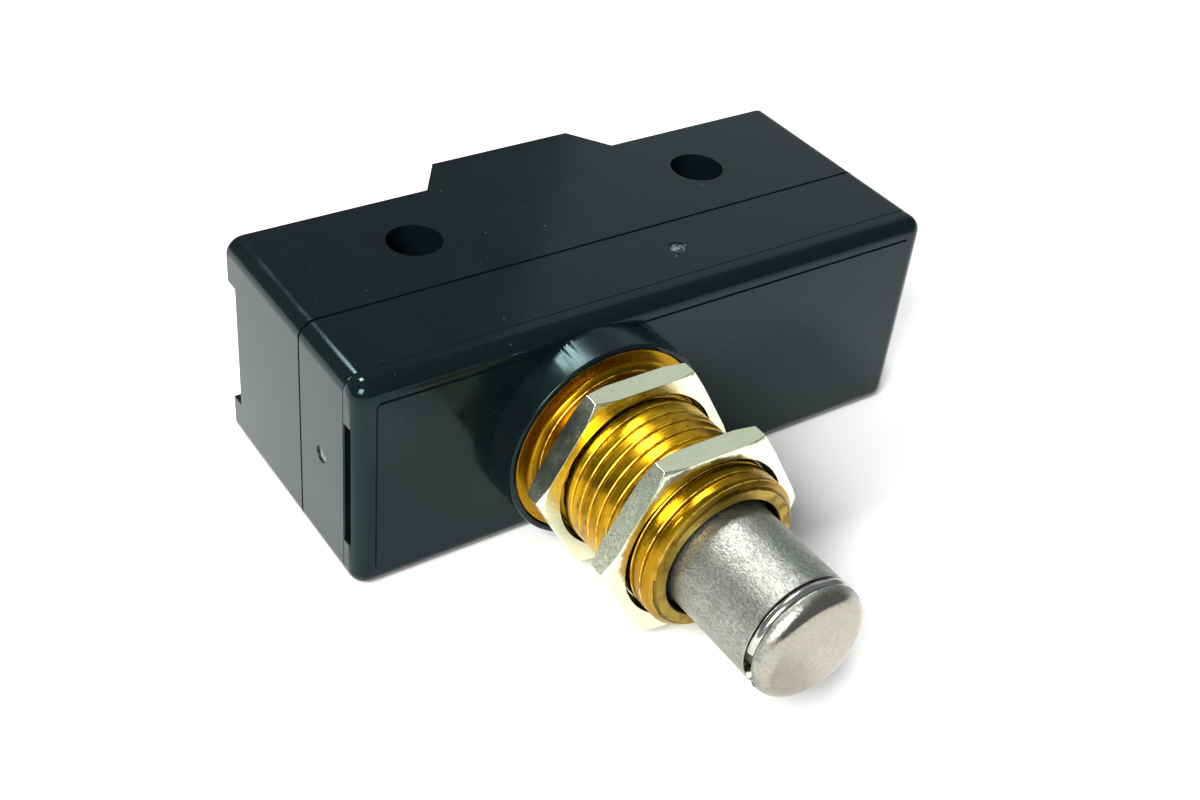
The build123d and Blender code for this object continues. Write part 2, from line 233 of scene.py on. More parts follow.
# small round flecks scattered over a surface
def makeSpecks():
    group, entry, leave = newGroup(
        "scatteredSpecks",
        [("Vector", "NodeSocketVector", None), ("Scale", "NodeSocketFloat", 900.0),
         ("Size", "NodeSocketFloat", 0.12), ("Share", "NodeSocketFloat", 0.4)],
        [("Mask", "NodeSocketFloat")],
    )
    cells = addNode(group, "ShaderNodeTexVoronoi", {
        "Vector": entry.outputs["Vector"], "Scale": entry.outputs["Scale"]})
    pick = addNode(group, "ShaderNodeSeparateColor", {"Color": cells.outputs["Color"]})
    size = calc(group, "MULTIPLY", entry.outputs["Size"], pick.outputs["Green"])
    inside = calc(group, "LESS_THAN", cells.outputs["Distance"], size)
    chosen = calc(group, "LESS_THAN", pick.outputs["Red"], entry.outputs["Share"])
    group.links.new(calc(group, "MULTIPLY", inside, chosen), leave.inputs["Mask"])
    return group


# fine tool lines round an axis along Y: rings on end faces, hoops on round sides
def makeTurnedLines():
    group, entry, leave = newGroup(
        "turnedLines",
        [("Vector", "NodeSocketVector", None), ("Scale", "NodeSocketFloat", 6000.0)],
        [("Height", "NodeSocketFloat")],
    )
    place = addNode(group, "ShaderNodeSeparateXYZ", {"Vector": entry.outputs["Vector"]})
    flat = addNode(group, "ShaderNodeCombineXYZ", {"X": place.outputs["X"], "Y": place.outputs["Z"]})
    radius = addNode(group, "ShaderNodeVectorMath", {0: flat.outputs[0]}, operation="LENGTH")
    line = addNode(group, "ShaderNodeCombineXYZ", {"X": radius.outputs["Value"], "Y": place.outputs["Y"]})
    rings = noise(group, line.outputs[0], entry.outputs["Scale"], 3.0, 0.6)
    group.links.new(rings, leave.inputs["Height"])
    return group


# thin irregular scratches in two directions
def makeScuffs():
    group, entry, leave = newGroup(
        "scuffs",
        [("Vector", "NodeSocketVector", None), ("Scale", "NodeSocketFloat", 500.0),
         ("Amount", "NodeSocketFloat", 0.5)],
        [("Mask", "NodeSocketFloat")],
    )
    masks = []
    for turn, stretch in (((0.3, 0.5, 0.4), (1.0, 0.05, 1.0)), ((1.1, -0.4, 0.9), (0.06, 1.0, 1.0))):
        turned = addNode(group, "ShaderNodeMapping", {
            "Vector": entry.outputs["Vector"], "Rotation": turn, "Scale": stretch})
        lines = noise(group, turned.outputs[0], entry.outputs["Scale"], 4.0, 0.65)
        masks.append(spread(group, lines, 0.62, 0.72))
    both = calc(group, "MAXIMUM", masks[0], masks[1])
    patches = spread(group, noise(group, entry.outputs["Vector"], 220.0, 2.0), 0.42, 0.62)
    worn = calc(group, "MULTIPLY", both, patches)
    group.links.new(calc(group, "MULTIPLY", worn, entry.outputs["Amount"]), leave.inputs["Mask"])
    return group


specks = makeSpecks()
turnedLines = makeTurnedLines()
scuffs = makeScuffs()
print("effects ready")


# where a point is from the stud's axis: its centred place, the parts of that, and its radius
def fromAxis(tree, place):
    move = {"Vector": place, "Location": (-axisX, 0, -axisZ)}
    centred = addNode(tree, "ShaderNodeMapping", move).outputs[0]
    axes = addNode(tree, "ShaderNodeSeparateXYZ", {"Vector": centred}).outputs
    flat = addNode(tree, "ShaderNodeCombineXYZ", {"X": axes["X"], "Y": axes["Z"]}).outputs[0]
    radius = addNode(tree, "ShaderNodeVectorMath", {0: flat}, operation="LENGTH").outputs["Value"]
    return centred, axes, radius


def mixValue(tree, factor, first, second):
    return addNode(tree, "ShaderNodeMix", {0: factor, 2: first, 3: second}, data_type="FLOAT").outputs[0]


def newMaterial(name, colour, metallic, roughness):
    material = bpy.data.materials.new(name)
    material.use_nodes = True
    tree = material.node_tree
    shader = tree.nodes["Principled BSDF"]
    shader.inputs["Base Color"].default_value = (*colour, 1.0)
    shader.inputs["Metallic"].default_value = metallic
    shader.inputs["Roughness"].default_value = roughness
    place = addNode(tree, "ShaderNodeTexCoord").outputs["Object"]
    return material, tree, shader, place


def useGroup(tree, group, **inputs):
    node = tree.nodes.new("ShaderNodeGroup")
    node.node_tree = group
    for key, value in inputs.items():
        if isinstance(value, bpy.types.NodeSocket):
            tree.links.new(value, node.inputs[key])
        else:
            node.inputs[key].default_value = value
    return node.outputs[0]


def bump(tree, shader, height, distance, strength=1.0, under=None):
    inputs = {"Height": height, "Distance": distance, "Strength": strength}
    if under is not None:
        inputs["Normal"] = under
    out = addNode(tree, "ShaderNodeBump", inputs).outputs["Normal"]
    tree.links.new(out, shader.inputs["Normal"])
    return out


def mixColour(tree, factor, first, second):
    mix = tree.nodes.new("ShaderNodeMix")
    mix.data_type = "RGBA"
    tree.links.new(factor, mix.inputs[0])
    for index, value in ((6, first), (7, second)):
        if isinstance(value, bpy.types.NodeSocket):
            tree.links.new(value, mix.inputs[index])
        else:
            mix.inputs[index].default_value = (*value, 1.0)
    return mix.outputs[2]


phenolic = {
    "colour": (0.0030, 0.0060, 0.0070),
    "dust": (0.30, 0.31, 0.30),
    "roughness": (0.08, 0.20),
    "gloss": 1.32,
    "sheen": (0.52, 0.94, 0.94),
    "waveScale": 160.0,
    "waveHeight": 0.010 * mm,
    "nickReach": 0.20 * mm,  # how near an edge the moulding is nicked
    "frontEdge": -14.34 * mm,  # the front face, one of those that meet in an edge
    "marks": ((4.2 * mm, -9.075 * mm, 17.45 * mm), (-24.6 * mm, -9.075 * mm, 8.725 * mm)),
    "markRadius": 0.66 * mm,
    "collarRoughness": 0.13,  # added on the collar round the stud
    "collarFront": -14.6 * mm,
    "collarReach": (7.8 * mm, 7.95 * mm),
    "dustSpecks": {"Scale": 900.0, "Size": 0.07, "Share": 0.30},
    "fineSpecks": {"Scale": 2600.0, "Size": 0.15, "Share": 0.30},
    "nickSpecks": {"Scale": 3000.0, "Size": 0.40, "Share": 0.30},
    "speckAmount": 0.30,
    "nickAmount": 0.4,
    "settledAmount": 0.5,
    "nickDepth": 0.02 * mm,
    "rub": {"Scale": 700.0, "Amount": 0.5},
    "rubRoughness": 0.25,
    "skinScale": 5000.0,
    "skinHeight": 0.0006 * mm,
}


# marks the case's outer edges, where two of its outer faces are near
def edgeMask(tree, place, settings):
    low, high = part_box("front_cap")
    reach = settings["nickReach"]
    axes = addNode(tree, "ShaderNodeSeparateXYZ", {"Vector": place}).outputs
    near = calc(tree, "LESS_THAN", axes[1], settings["frontEdge"] + reach)
    for axis in (0, 2):
        middle, half = (low[axis] + high[axis]) / 2, (high[axis] - low[axis]) / 2
        away = calc(tree, "ABSOLUTE", calc(tree, "SUBTRACT", axes[axis], middle))
        near = calc(tree, "ADD", near, calc(tree, "COMPARE", away, half, reach))
    return calc(tree, "GREATER_THAN", near, 1.5)


# the two round moulding marks, where dust has settled
def markMask(tree, place, settings):
    found = None
    radius = settings["markRadius"]
    for mark in settings["marks"]:
        away = addNode(tree, "ShaderNodeVectorMath", {0: place, 1: mark}, operation="DISTANCE")
        inside = spread(tree, away.outputs["Value"], radius, radius * 0.7)
        found = inside if found is None else calc(tree, "MAXIMUM", found, inside)
    return calc(tree, "MULTIPLY", found, spread(tree, noise(tree, place, 2600.0, 3.0), 0.4, 0.65))


def collarMask(tree, place, settings):
    centred, axes, radius = fromAxis(tree, place)
    forward = calc(tree, "LESS_THAN", axes["Y"], settings["collarFront"])
    return calc(tree, "MULTIPLY", forward, spread(tree, radius, *settings["collarReach"]))


# glossy black moulding with faint waves, dust, and nicks along its edges
def makePhenolic(settings):
    material, tree, shader, place = newMaterial("phenolicBlack", settings["colour"], 0.0, 0.16)
    dust = useGroup(tree, specks, Vector=place, **settings["dustSpecks"])
    fine = useGroup(tree, specks, Vector=place, **settings["fineSpecks"])
    clean = spread(tree, noise(tree, place, 90.0, 2.0), 0.45, 0.7)
    flecks = calc(tree, "MAXIMUM", calc(tree, "MULTIPLY", fine, clean), dust)
    chips = useGroup(tree, specks, Vector=place, **settings["nickSpecks"])
    nicks = calc(tree, "MULTIPLY", chips, edgeMask(tree, place, settings))
    settled = calc(tree, "MULTIPLY", markMask(tree, place, settings), settings["settledAmount"])
    worn = calc(tree, "MAXIMUM", calc(tree, "MULTIPLY", nicks, settings["nickAmount"]), settled)
    amount = calc(tree, "MAXIMUM", calc(tree, "MULTIPLY", flecks, settings["speckAmount"]), worn)
    colour = mixColour(tree, amount, settings["colour"], settings["dust"])
    tree.links.new(colour, shader.inputs["Base Color"])
    haze = spread(tree, noise(tree, place, 260.0, 4.0, 0.6), 0.3, 0.75, *settings["roughness"])
    rub = useGroup(tree, scuffs, Vector=place, **settings["rub"])
    rough = calc(tree, "ADD", haze, calc(tree, "MULTIPLY", rub, settings["rubRoughness"]))
    extra = calc(tree, "MULTIPLY", collarMask(tree, place, settings), settings["collarRoughness"])
    tree.links.new(calc(tree, "ADD", rough, extra), shader.inputs["Roughness"])
    waves = noise(tree, place, settings["waveScale"], 2.0)
    under = bump(tree, shader, waves, settings["waveHeight"])
    under = bump(tree, shader, calc(tree, "MULTIPLY", nicks, -1.0), settings["nickDepth"], under=under)
    skin = noise(tree, place, settings["skinScale"], 2.0)
    bump(tree, shader, skin, settings["skinHeight"], under=under)
    shader.inputs["IOR"].default_value = settings["gloss"]
    shader.inputs["Specular Tint"].default_value = (*settings["sheen"], 1.0)
    return material


stud = {
    "helixStart": -14.5 * mm,  # where a crest starts, straight out along X
    "crest": 5.98 * mm,
    "root": 5.78 * mm,
    "pitch": 1.0 * mm,
    "rowsPerTurn": 20,
    "sides": 144,
    "crestShare": 0.76,
    "flangeBand": 0.75 * mm,
    "flangeFall": 0.10 * mm,
    "flangeRound": 0.13 * mm,
    "endChamfer": 0.5 * mm,
    "endFall": 0.3 * mm,  # how far the thread falls on past the end, where it is cut off
    "reliefFloor": 5.70 * mm,
    "reliefSlope": 2,
    "crown": 0.012 * mm,  # how far a crest's flat falls away to its edges
    "centreHole": 0.5 * mm,
    "backChamfer": 0.15 * mm,
    "flangeThickness": 1.5 * mm,
    "flangeEdge": 0.1 * mm,
    "overlap": 0.5 * mm,  # how far the thread runs into the flange
    "guide": 4.30 * mm,
    "mouth": 4.60 * mm,
    "mouthDepth": 1.5 * mm,
    "mouthFall": 0.15 * mm,
    "mouthEdge": 0.10 * mm,
    "lipBore": 4.95 * mm,
    "stop": -22.4 * mm,
    "reliefs": ((-20.70 * mm, -19.95 * mm), (-27.30 * mm, -26.55 * mm)),
    "lineInset": 0.02,  # the painted highlight line's middle, in from a crest's edge, as a part of half the pitch
    "lineFade": (0.08, 0.03),
    "lineScale": 1300.0,
    "lineReach": (0.18 * mm, 0.04 * mm),  # under the root and over the crest
    "joinReach": 1e-6,  # corners nearer than this, in metres, are joined into one
    "smoothAngle": 24,
}


brass = {
    "colour": (0.60, 0.33, 0.007),
    "deep": (0.30, 0.15, 0.005),
    "unshadedMiddle": -24.25 * mm,  # painted shade: the thread is painted darker away from this stretch, towards the flange and the open end
    "shadeReach": (3.6 * mm, 4.2 * mm),
    "stain": (0.08, 0.045, 0.01),
    "dull": (0.42, 0.29, 0.05),
    "deepDull": (0.14, 0.085, 0.015),
    "roughness": (0.22, 0.36),
    "dullRoughness": 0.42,
    # painted highlight: the bright brass painted along the crest edges
    "worn": (0.90, 0.64, 0.09),
    "crestHighlightRoughness": 0.55,
    "stains": {"Scale": 2600.0, "Size": 0.36, "Share": 0.16},
    "stainAmount": 0.6,
    "endDepth": 0.30 * mm,  # how deep the dull open end goes
    "lineScale": 5000.0,
    "lineHeight": 0.003 * mm,
    "rub": {"Scale": 1400.0, "Amount": 1.0},
    "boreShadeColour": (0.030, 0.020, 0.006),
    "boreRadius": 4.66 * mm,  # the bore is painted dark as shade inside this
}


# painted highlight: thin bright lines along both edges of the helical crest
def paintedCrestHighlight(tree, centred, axes, radius):
    turn = calc(tree, "DIVIDE", calc(tree, "ARCTAN2", axes["Z"], axes["X"]), 2 * math.pi)
    forward = calc(tree, "SUBTRACT", stud["helixStart"], axes["Y"])
    along = calc(tree, "DIVIDE", forward, stud["pitch"])
    share = calc(tree, "FRACT", calc(tree, "SUBTRACT", along, turn))
    folded = calc(tree, "ABSOLUTE", calc(tree, "MULTIPLY_ADD", share, 2.0, -1.0))
    fromCrest = calc(tree, "SUBTRACT", 1.0, folded)
    away = calc(tree, "ABSOLUTE", calc(tree, "SUBTRACT", fromCrest, stud["crestShare"] - stud["lineInset"]))
    line = spread(tree, away, *stud["lineFade"])
    outward = calc(tree, "GREATER_THAN", radius, stud["root"] - stud["lineReach"][0])
    inward = calc(tree, "LESS_THAN", radius, stud["crest"] + stud["lineReach"][1])
    onThread = calc(tree, "MULTIPLY", outward, inward)
    broken = spread(tree, noise(tree, centred, stud["lineScale"], 3.0, 0.6), 0.36, 0.56)
    return calc(tree, "MULTIPLY", calc(tree, "MULTIPLY", line, onThread), broken)


# turned and polished along its sides, duller and darker on the sawn open end; painted shade towards the
# flange, the open end and in the bore, and painted highlights along the crest edges
def makeBrass(settings):
    material, tree, shader, place = newMaterial("brassTurned", settings["colour"], 1.0, 0.2)
    centred, axes, radius = fromAxis(tree, place)
    patches = spread(tree, noise(tree, place, 900.0, 4.0, 0.62), 0.46, 0.70)
    # painted shade: darker towards the flange and the open end, away from the middle stretch
    away = calc(tree, "ABSOLUTE", calc(tree, "SUBTRACT", axes["Y"], settings["unshadedMiddle"]))
    paintedShadeAtEnds = calc(tree, "MULTIPLY", spread(tree, away, *settings["shadeReach"]), 0.8)
    darker = calc(tree, "MAXIMUM", patches, paintedShadeAtEnds)
    tone = mixColour(tree, darker, settings["colour"], settings["deep"])
    spots = useGroup(tree, specks, Vector=place, **settings["stains"])
    stained = calc(tree, "MULTIPLY", spots, settings["stainAmount"])
    marked = mixColour(tree, stained, tone, settings["stain"])
    facing = addNode(tree, "ShaderNodeTexCoord").outputs["Normal"]
    forward = addNode(tree, "ShaderNodeSeparateXYZ", {"Vector": facing}).outputs["Y"]
    atEnd = calc(tree, "LESS_THAN", axes["Y"], studLow.y + settings["endDepth"])
    end = calc(tree, "MULTIPLY", atEnd, spread(tree, forward, -0.55, -0.85))
    # painted highlight: the crest edges are painted in bright brass
    worn = paintedCrestHighlight(tree, centred, axes, radius)
    edged = mixColour(tree, worn, marked, settings["worn"])
    tarnish = mixColour(tree, patches, settings["dull"], settings["deepDull"])
    outside = mixColour(tree, end, edged, tarnish)
    # painted shade: the bore and its mouth are painted nearly black
    paintedBoreShade = calc(tree, "LESS_THAN", radius, settings["boreRadius"])
    colour = mixColour(tree, paintedBoreShade, outside, settings["boreShadeColour"])
    tree.links.new(colour, shader.inputs["Base Color"])
    lines = useGroup(tree, turnedLines, Vector=centred, Scale=settings["lineScale"])
    rub = useGroup(tree, scuffs, Vector=place, **settings["rub"])
    smooth = spread(tree, lines, 0.3, 0.7, *settings["roughness"])
    rough = calc(tree, "ADD", smooth, calc(tree, "MULTIPLY", rub, 0.2))
    rough = mixValue(tree, worn, rough, settings["crestHighlightRoughness"])
    rough = mixValue(tree, end, rough, settings["dullRoughness"])
    tree.links.new(rough, shader.inputs["Roughness"])
    under = bump(tree, shader, lines, settings["lineHeight"])
    bump(tree, shader, rub, settings["lineHeight"], under=under)
    return material


nickel = {
    "colour": (0.91, 0.94, 0.68),
    "shade": (0.25, 0.33, 0.37),
    "faceRoughness": (0.10, 0.20),
    "flatRoughness": (0.17, 0.31),
    "litTopGrain": 0.2,  # painted light: the grain on the flat that faces up, as a part of the others', so that flat reads lighter
    "gapShadeColour": (0.05, 0.045, 0.035),
    "gapRadius": 6.335 * mm,  # the nuts' bores are painted dark as shade inside this
    "gapFront": -15.0 * mm,
    "grainScale": 5500.0,
    "flatGrain": 0.6,
    "faceGrain": 0.15,
    "dentScale": 3200.0,
    "dentHeight": 0.016 * mm,
    "rub": {"Scale": 1500.0, "Amount": 1.0},
    "rubHeight": 0.004 * mm,
}


# bright on the turned end faces, grainy and scuffed on the rolled flats; painted light on the flat that
# faces up and painted shade in the bores
def makeNickel(settings):
    material, tree, shader, place = newMaterial("nickelPlate", settings["colour"], 1.0, 0.28)
    facing = addNode(tree, "ShaderNodeTexCoord").outputs["Normal"]
    turned = addNode(tree, "ShaderNodeSeparateXYZ", {"Vector": facing}).outputs
    face = spread(tree, calc(tree, "ABSOLUTE", turned["Y"]), 0.80, 0.95)
    # painted light: the flat that faces up gets less of the dark grain, so it reads lighter
    clean = spread(tree, turned["Z"], 0.80, 0.95, 1.0, settings["litTopGrain"])
    grains = spread(tree, noise(tree, place, settings["grainScale"], 3.0, 0.7), 0.48, 0.62)
    patches = noise(tree, place, 700.0, 3.0, 0.6)
    grainsOffLitTop = calc(tree, "MULTIPLY", grains, clean)
    worn = calc(tree, "MULTIPLY", grainsOffLitTop, spread(tree, patches, 0.30, 0.65))
    grainShare = spread(tree, face, 0.0, 1.0, settings["flatGrain"], settings["faceGrain"])
    amount = calc(tree, "MULTIPLY", worn, grainShare)
    plated = mixColour(tree, amount, settings["colour"], settings["shade"])
    centred, axes, radius = fromAxis(tree, place)
    # painted shade: the nuts' bores and recesses are painted nearly black
    paintedGapShade = calc(tree, "MULTIPLY", calc(tree, "LESS_THAN", radius, settings["gapRadius"]),
               calc(tree, "LESS_THAN", axes["Y"], settings["gapFront"]))
    colour = mixColour(tree, paintedGapShade, plated, settings["gapShadeColour"])
    tree.links.new(colour, shader.inputs["Base Color"])
    onFace = spread(tree, patches, 0.3, 0.7, *settings["faceRoughness"])
    onFlat = spread(tree, patches, 0.3, 0.7, *settings["flatRoughness"])
    tree.links.new(mixValue(tree, face, onFlat, onFace), shader.inputs["Roughness"])
    dents = noise(tree, place, settings["dentScale"], 4.0, 0.75)
    under = bump(tree, shader, dents, settings["dentHeight"])
    rub = useGroup(tree, scuffs, Vector=place, **settings["rub"])
    bump(tree, shader, rub, settings["rubHeight"], under=under)
    return material


steel = {
    "colour": (0.40, 0.41, 0.36),
    "shade": (0.16, 0.17, 0.155),
    "tipColour": (0.42, 0.39, 0.33),
    "tipShade": (0.30, 0.28, 0.235),
    "sideRoughness": (0.34, 0.48),
    "tipRoughness": (0.09, 0.18),
    "grainScale": 7000.0,
    "grainDraw": (1.0, 0.55, 1.0),  # drawn out along the plunger
    "grainHeight": 0.045 * mm,
    "tipGrain": 0.10,  # the grain on the tip, as a part of the side's
}


# a grainy tumbled side and a smoother, warmer pressed tip
def makeSteel(settings):
    material, tree, shader, place = newMaterial("tumbledSteel", settings["colour"], 1.0, 0.32)
    facing = addNode(tree, "ShaderNodeTexCoord").outputs["Normal"]
    along = addNode(tree, "ShaderNodeSeparateXYZ", {"Vector": facing}).outputs["Y"]
    tip = spread(tree, calc(tree, "ABSOLUTE", along), 0.25, 0.75)
    drawn = addNode(tree, "ShaderNodeMapping", {"Vector": place, "Scale": settings["grainDraw"]}).outputs[0]
    grain = noise(tree, drawn, settings["grainScale"], 3.0, 0.75)
    patches = noise(tree, drawn, 1500.0, 4.0, 0.65)
    mottle = calc(tree, "ADD", calc(tree, "MULTIPLY", patches, 0.25), calc(tree, "MULTIPLY", grain, 0.75))
    tone = spread(tree, mottle, 0.40, 0.64)
    side = mixColour(tree, tone, settings["colour"], settings["shade"])
    pressed = mixColour(tree, tone, settings["tipColour"], settings["tipShade"])
    tree.links.new(mixColour(tree, tip, side, pressed), shader.inputs["Base Color"])
    onSide = spread(tree, patches, 0.3, 0.7, *settings["sideRoughness"])
    onTip = spread(tree, patches, 0.3, 0.7, *settings["tipRoughness"])
    tree.links.new(mixValue(tree, tip, onSide, onTip), shader.inputs["Roughness"])
    amount = spread(tree, tip, 0.0, 1.0, 1.0, settings["tipGrain"])
    bump(tree, shader, calc(tree, "MULTIPLY", grain, amount), settings["grainHeight"])
    return material


# a plain plated, rolled or drawn metal
def makeMetal(name, colour, shade, roughness, grainScale, grainHeight):
    material, tree, shader, place = newMaterial(name, colour, 1.0, roughness[0])
    patches = noise(tree, place, 600.0, 3.0, 0.6)
    tone = mixColour(tree, spread(tree, patches, 0.4, 0.7), colour, shade)
    tree.links.new(tone, shader.inputs["Base Color"])
    tree.links.new(spread(tree, patches, 0.3, 0.7, *roughness), shader.inputs["Roughness"])
    bump(tree, shader, noise(tree, place, grainScale, 3.0, 0.6), grainHeight)
    return material


def makeMoulded(name, colour, roughness):
    material, tree, shader, place = newMaterial(name, colour, 0.0, roughness)
    cloud = noise(tree, place, 500.0, 3.0)
    darker = tuple(c * 0.8 for c in colour)
    tree.links.new(mixColour(tree, cloud, colour, darker), shader.inputs["Base Color"])
    bump(tree, shader, noise(tree, place, 4000.0, 2.0), 0.003 * mm)
    return material


phenolicBlack = makePhenolic(phenolic)
brassTurned = makeBrass(brass)
nickelPlate = makeNickel(nickel)
tumbledSteel = makeSteel(steel)


plainMetals = {  # colour, shade, roughness, grain scale and grain height
    "springSteel": ((0.58, 0.57, 0.54), (0.40, 0.40, 0.38), (0.14, 0.26), 4000.0, 0.004 * mm),
    "bladeCopper": ((0.78, 0.48, 0.26), (0.66, 0.38, 0.20), (0.22, 0.36), 2500.0, 0.004 * mm),
    "contactSilver": ((0.86, 0.85, 0.82), (0.70, 0.69, 0.66), (0.18, 0.34), 3000.0, 0.004 * mm),
    "terminalBrass": ((0.80, 0.70, 0.42), (0.64, 0.54, 0.30), (0.22, 0.38), 2500.0, 0.005 * mm),
}
metals = {name: makeMetal(name, *values) for name, values in plainMetals.items()}
pinMoulded = makeMoulded("pinMoulded", (0.62, 0.58, 0.46), 0.42)
print("materials ready")


def softenedCopy(node, width, share=None):
    source = nodes[node]
    piece = source.copy()
    piece.data = source.data.copy()
    piece.parent = None
    for key in list(piece.keys()):
        del piece[key]
    bpy.context.scene.collection.objects.link(piece)
    editAll(piece)
    bpy.ops.mesh.remove_doubles(threshold=tiny)
    bpy.ops.mesh.dissolve_limited(angle_limit=math.radians(0.5))
    bpy.ops.object.mode_set(mode="OBJECT")
    softenEdges(piece, width, share=share)
    return piece


case = {
    "edge": 0.14 * mm,
    "holeEdge": 0.35,  # parts of the edge's width
    "seamEdge": 0.25,
    "panelEdge": 0.25,
    "holeReach": 3.0 * mm,
    "holeX": 12.7 * mm,
    "seamReach": 0.3 * mm,
    "panelFront": -14.1 * mm,
    "collarRadius": 8.3 * mm,
}


# the joints between the mouldings, where edges stay crisp
seams = [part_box("case_cover")[0].y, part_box("case_cover")[1].y]


def caseShare(point):
    hole = abs(abs(point.x) - case["holeX"])
    if math.hypot(hole, point.y) < case["holeReach"]:
        return case["holeEdge"]
    if min(abs(point.y - seam) for seam in seams) < case["seamReach"]:
        return case["seamEdge"]
    fromStud = math.hypot(point.x - axisX, point.z - axisZ)
    if point.y < case["panelFront"] and fromStud > case["collarRadius"]:
        return case["panelEdge"]
    return 1.0


for node in ("case_base", "case_cover", "front_cap"):
    finishPiece(softenedCopy(node, case["edge"], caseShare), "case", node, phenolicBlack)
print("case ready")


# the thread's radius at a share of one turn along the stud: a flat crest with sloping sides
def threadRadius(share, settings):
    fromCrest = abs(share - round(share)) * 2
    down = max(0.0, fromCrest - settings["crestShare"]) / (1 - settings["crestShare"])
    crown = settings["crown"] * fromCrest ** 2
    return settings["crest"] - crown - (settings["crest"] - settings["root"]) * down


# a helical rod from front to back, its free end chamfered
def makeThread(settings, front, back):
    start = settings["helixStart"]
    rows = settings["rowsPerTurn"]
    sides = settings["sides"]
    turns = math.ceil((start - front) / settings["pitch"]) + 2
    deselectAll()
    bpy.ops.mesh.primitive_grid_add(x_subdivisions=turns * rows, y_subdivisions=sides, size=1)
    piece = bpy.context.object
    endRadius = settings["crest"] - settings["endChamfer"]
    for point in piece.data.vertices:
        row = round((point.co.x + 0.5) * turns * rows)
        side = round((point.co.y + 0.5) * sides)
        y = start - settings["pitch"] * (row / rows + side / sides)
        radius = threadRadius(row / rows, settings)
        radius = min(radius, max(endRadius - settings["endFall"], endRadius + (y - front)))
        for low, high in settings["reliefs"]:
            outside = max(low - y, y - high)
            slope = settings["crest"] + outside * settings["reliefSlope"]
            radius = min(radius, max(settings["reliefFloor"], slope))
        angle = 2 * math.pi * side / sides
        point.co = (axisX + radius * math.cos(angle), y, axisZ + radius * math.sin(angle))
    editAll(piece)
    bpy.ops.mesh.remove_doubles(threshold=settings["joinReach"])
    for limit, outward in ((front, -1), (back, 1)):
        bpy.ops.mesh.select_all(action="SELECT")
        bpy.ops.mesh.bisect(
            plane_co=(axisX, limit, axisZ), plane_no=(0, outward, 0), use_fill=True, clear_outer=True
        )
    bpy.ops.object.mode_set(mode="OBJECT")
    faceOut(piece)
    return piece


def makeStud(settings):
    flangeRadius = (studHigh.x - studLow.x) / 2
    front, back = studLow.y, studHigh.y
    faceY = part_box("front_cap")[0].y
    seatY = faceY + settings["flangeThickness"]
    shank, chamfer = settings["crest"], settings["backChamfer"]
    around, edge = settings["flangeRound"], settings["flangeEdge"]
    corner = (flangeRadius - around, faceY + settings["flangeFall"] + around)
    flange = turnPiece("flange", [
        (settings["centreHole"], back),
        (shank - chamfer, back),
        (shank, back - chamfer),
        (shank, seatY),
        (flangeRadius - edge, seatY),
        (flangeRadius, seatY - edge),
        (flangeRadius, corner[1]),
        *arcPoints(corner, around, 0, -90, 4)[1:],
        (flangeRadius - settings["flangeBand"], faceY),
        (settings["centreHole"], faceY),
    ])
    combine(flange, makeThread(settings, front, faceY + settings["overlap"]), "UNION")
    guide, mouth, lipBore = settings["guide"], settings["mouth"], settings["lipBore"]
    mouthEnd = front + settings["mouthDepth"]
    wide, half = mouth + settings["mouthEdge"], settings["mouthEdge"] / 2
    bore = turnPiece("bore", [
        (thin, back + clear),
        (lipBore, back + clear),
        (lipBore, settings["stop"]),
        (guide, settings["stop"]),
        (guide, mouthEnd),
        (mouth, mouthEnd - settings["mouthFall"]),
        (mouth, front + half),
        (wide, front - half),
        (wide, front - clear),
        (thin, front - clear),
    ])
    combine(flange, bore, "DIFFERENCE")
    return flange


finishPiece(makeStud(stud), "case", "threaded_bushing", brassTurned, stud["smoothAngle"])
print("stud ready")


nut = {
    "bore": 6.05 * mm,
    "recess": 0.27 * mm,
    "recessDepth": 0.7 * mm,
    "cornerCut": 0.36 * mm,
    "cornerSlope": 1.9,
    "margin": 0.1 * mm,  # how far the tool that trims the corners reaches past them
    "edge": 0.05 * mm,
}


def makeNut(node, settings):
    low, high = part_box(node)
    acrossFlats = high.z - low.z
    corner = acrossFlats / math.sqrt(3)
    middle = (low.y + high.y) / 2
    thickness = high.y - low.y
    deselectAll()
    bpy.ops.mesh.primitive_cylinder_add(
        vertices=6, radius=corner, depth=thickness, location=(axisX, middle, axisZ),
        rotation=(math.pi / 2, math.pi / 6, 0),
    )
    piece = bpy.context.object
    applyPlace(piece)
    cut = settings["cornerCut"]
    wide = corner + settings["margin"]
    coneLow = corner - cut * settings["cornerSlope"]
    turned = turnPiece("corners", [
        (thin, low.y),
        (coneLow, low.y),
        (wide, low.y + cut),
        (wide, high.y - cut),
        (coneLow, high.y),
        (thin, high.y),
    ])
    closeCentre(turned)
    combine(piece, turned, "INTERSECT")
    bore, depth = settings["bore"], settings["recessDepth"]
    mouth = bore + settings["recess"]
    tool = turnPiece("nutBore", [
        (thin, low.y - clear),
        (mouth, low.y - clear),
        (mouth, low.y),
        (bore, low.y + depth),
        (bore, high.y - depth),
        (mouth, high.y),
        (mouth, high.y + clear),
        (thin, high.y + clear),
    ])
    closeCentre(tool)
    combine(piece, tool, "DIFFERENCE")
    softenEdges(piece, settings["edge"])
    return piece


# fills a turned tool's thin centre hole by drawing its inner wall together
def closeCentre(piece):
    for point in piece.data.vertices:
        if Vector((point.co.x - axisX, point.co.z - axisZ)).length < centreReach:
            point.co.x = axisX
            point.co.z = axisZ
    editAll(piece)
    bpy.ops.mesh.remove_doubles(threshold=tiny)
    bpy.ops.mesh.dissolve_degenerate(threshold=tiny)
    bpy.ops.object.mode_set(mode="OBJECT")


for node in ("inner_nut", "outer_nut"):
    finishPiece(makeNut(node, nut), node, node, nickelPlate)
print("nuts ready")


